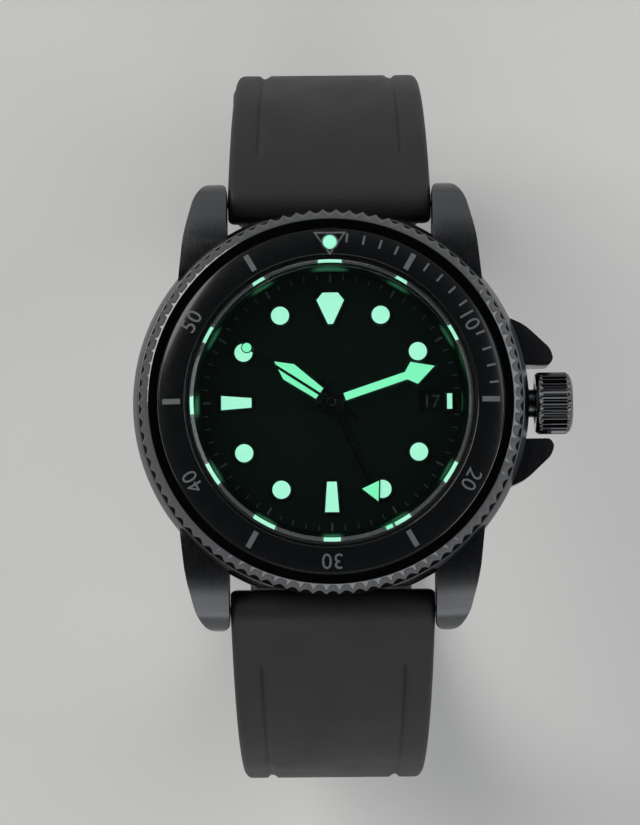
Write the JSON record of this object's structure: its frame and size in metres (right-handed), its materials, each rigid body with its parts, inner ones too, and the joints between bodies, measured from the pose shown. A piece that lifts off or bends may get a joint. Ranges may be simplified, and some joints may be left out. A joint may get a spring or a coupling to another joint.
{
  "type": "dive watch",
  "caption": "Automatic dive watch with luminous hour markers, a 24-hour hand, a turning bezel, a screw-down crown and an open two-piece rubber strap.",
  "frame": {"origin": "centre of the case back's outer flat face", "axes": "+Z out through the dial and crystal, +Y towards 12 o'clock, +X towards 3 o'clock and the crown"},
  "size_m": [0.0468, 0.0836, 0.071],
  "materials": {
    "steel": "black coated, satin with polished edges",
    "ceramic": "polished",
    "lume": "matte, glows mint green in the dark",
    "crystal": "polished",
    "seal": "matte",
    "rehaut": "polished black coating",
    "dial": "matte black",
    "date": "matte black",
    "hands": "polished black nickel",
    "rubber": "matte moulded",
    "brass": "satin",
    "plated": "rhodium plated",
    "spring": "blued",
    "inner_steel": "satin"
  },
  "bodies": {
    "case": {"mid_case": "steel", "case_back": "steel", "case_back_gasket": "seal", "crystal": "crystal", "crystal_gasket": "seal", "chapter_ring": "rehaut", "dial": "dial", "marker_1": "lume", "marker_2": "lume", "marker_3": "lume", "marker_4": "lume", "marker_5": "lume", "marker_6": "lume", "marker_7": "lume", "marker_8": "lume", "marker_9": "lume", "marker_10": "lume", "marker_11": "lume", "marker_12": "lume", "crown_tube": "steel", "movement_holder": "inner_steel", "spring_bar_12": "inner_steel", "spring_bar_6": "inner_steel", "main_plate": "brass", "train_bridge": "plated", "balance_cock": "plated", "barrel_arbor": "inner_steel", "mainspring": "spring", "hairspring": "spring", "bezel_click_spring": "spring"},
    "bezel": {"bezel": "steel", "bezel_insert": "ceramic", "bezel_pip": "lume"},
    "crown_slide": {"crown_gasket": "seal"},
    "crown": {"crown": "steel", "winding_stem": "inner_steel"},
    "minute": {"minute_hand": "hands", "centre_wheel": "brass"},
    "seconds": {"seconds_hand": "hands", "fourth_wheel": "brass"},
    "hour": {"hour_hand": "hands", "hour_wheel": "brass"},
    "gmt": {"gmt_hand": "hands", "gmt_wheel": "brass"},
    "third": {"third_wheel": "brass"},
    "barrel": {"barrel_drum": "brass"},
    "minute_wheel": {"minute_wheel": "brass"},
    "date_drive": {"date_driving_wheel": "brass"},
    "date": {"date_ring": "date"},
    "escape": {"escape_wheel": "inner_steel"},
    "pallet": {"pallet_fork": "inner_steel"},
    "balance": {"balance_wheel": "brass"},
    "rotor": {"rotor": "plated"},
    "strap_12": {"strap_buckle_side": "rubber", "keeper_fixed": "rubber", "buckle_spring_bar": "inner_steel"},
    "strap_6": {"strap_tail_side": "rubber"},
    "keeper": {"keeper_free": "rubber"},
    "buckle": {"buckle_frame": "steel"},
    "tongue": {"buckle_tongue": "steel"}
  },
  "joints": [
    {"name": "minute_turn", "type": "hinge", "parent": "case", "child": "minute", "pos_m": [0, 0, 0.0093], "axis": [0, 0, -1], "continuous": true},
    {"name": "seconds_turn", "type": "hinge", "parent": "case", "child": "seconds", "pos_m": [0, 0, 0.0096], "axis": [0, 0, -1], "continuous": true},
    {"name": "hour_turn", "type": "hinge", "parent": "case", "child": "hour", "pos_m": [0, 0, 0.009], "axis": [0, 0, -1], "continuous": true},
    {"name": "gmt_turn", "type": "hinge", "parent": "case", "child": "gmt", "pos_m": [0, 0, 0.0086], "axis": [0, 0, -1], "continuous": true},
    {"name": "third_turn", "type": "hinge", "parent": "case", "child": "third", "pos_m": [0.00281, -0.00162, 0.005], "axis": [0, 0, -1], "continuous": true},
    {"name": "barrel_turn", "type": "hinge", "parent": "case", "child": "barrel", "pos_m": [-0.0036, 0.00429, 0.005], "axis": [0, 0, -1], "continuous": true},
    {"name": "minute_wheel_turn", "type": "hinge", "parent": "case", "child": "minute_wheel", "pos_m": [0.0012, 0.00208, 0.007], "axis": [0, 0, -1], "continuous": true},
    {"name": "date_drive_turn", "type": "hinge", "parent": "case", "child": "date_drive", "pos_m": [0.00144, -0.00249, 0.007], "axis": [0, 0, -1], "continuous": true},
    {"name": "escape_turn", "type": "hinge", "parent": "case", "child": "escape", "pos_m": [-0.00139, -0.00299, 0.005], "axis": [0, 0, -1], "continuous": true},
    {"name": "date_ring_turn", "type": "hinge", "parent": "case", "child": "date", "pos_m": [0, 0, 0.0074], "axis": [0, 0, -1], "continuous": true},
    {"name": "rotor_turn", "type": "hinge", "parent": "case", "child": "rotor", "pos_m": [0, 0, 0.003], "axis": [0, 0, -1], "continuous": true},
    {"name": "bezel_turn", "type": "hinge", "parent": "case", "child": "bezel", "pos_m": [0, 0, 0.011], "axis": [0, 0, -1], "continuous": true},
    {"name": "pallet_swing", "type": "hinge", "parent": "case", "child": "pallet", "pos_m": [-0.0023, -0.00494, 0.0054], "axis": [0, 0, 1], "range_deg": [-5, 5]},
    {"name": "balance_swing", "type": "hinge", "parent": "case", "child": "balance", "pos_m": [-0.00338, -0.00725, 0.005], "axis": [0, 0, 1], "range_deg": [-270, 270], "stiffness_Nm_per_rad": 0.0000003},
    {"name": "crown_pull", "type": "slide", "parent": "case", "child": "crown_slide", "axis": [1, 0, 0], "range_m": [0, 0.0018]},
    {"name": "crown_turn", "type": "hinge", "parent": "crown_slide", "child": "crown", "pos_m": [0.024, 0, 0.0052], "axis": [1, 0, 0], "continuous": true},
    {"name": "strap_12_pivot", "type": "hinge", "parent": "case", "child": "strap_12", "pos_m": [0, 0.0219, 0.0042], "axis": [1, 0, 0], "range_deg": [0, 60]},
    {"name": "strap_6_pivot", "type": "hinge", "parent": "case", "child": "strap_6", "pos_m": [0, -0.0219, 0.0042], "axis": [-1, 0, 0], "range_deg": [0, 60]},
    {"name": "keeper_slide", "type": "hinge", "parent": "strap_12", "child": "keeper", "pos_m": [0, 0.01197, -0.02898], "axis": [1, 0, 0], "range_deg": [-8, 16]},
    {"name": "buckle_pivot", "type": "hinge", "parent": "strap_12", "child": "buckle", "pos_m": [0, 0.01556, -0.05594], "axis": [1, 0, 0], "range_deg": [-30, 40]},
    {"name": "tongue_pivot", "type": "hinge", "parent": "buckle", "child": "tongue", "pos_m": [0, 0.01556, -0.05594], "axis": [1, 0, 0], "range_deg": [0, 80]}
  ],
  "couplings": [
    {"joint": "seconds_turn", "follows": "minute_turn", "ratio": 60},
    {"joint": "hour_turn", "follows": "minute_turn", "ratio": 0.083333},
    {"joint": "gmt_turn", "follows": "minute_turn", "ratio": 0.041667},
    {"joint": "third_turn", "follows": "minute_turn", "ratio": -8},
    {"joint": "barrel_turn", "follows": "minute_turn", "ratio": -0.16667},
    {"joint": "minute_wheel_turn", "follows": "minute_turn", "ratio": -0.33333},
    {"joint": "date_drive_turn", "follows": "minute_turn", "ratio": -0.041667},
    {"joint": "escape_turn", "follows": "minute_turn", "ratio": -600}
  ]
}
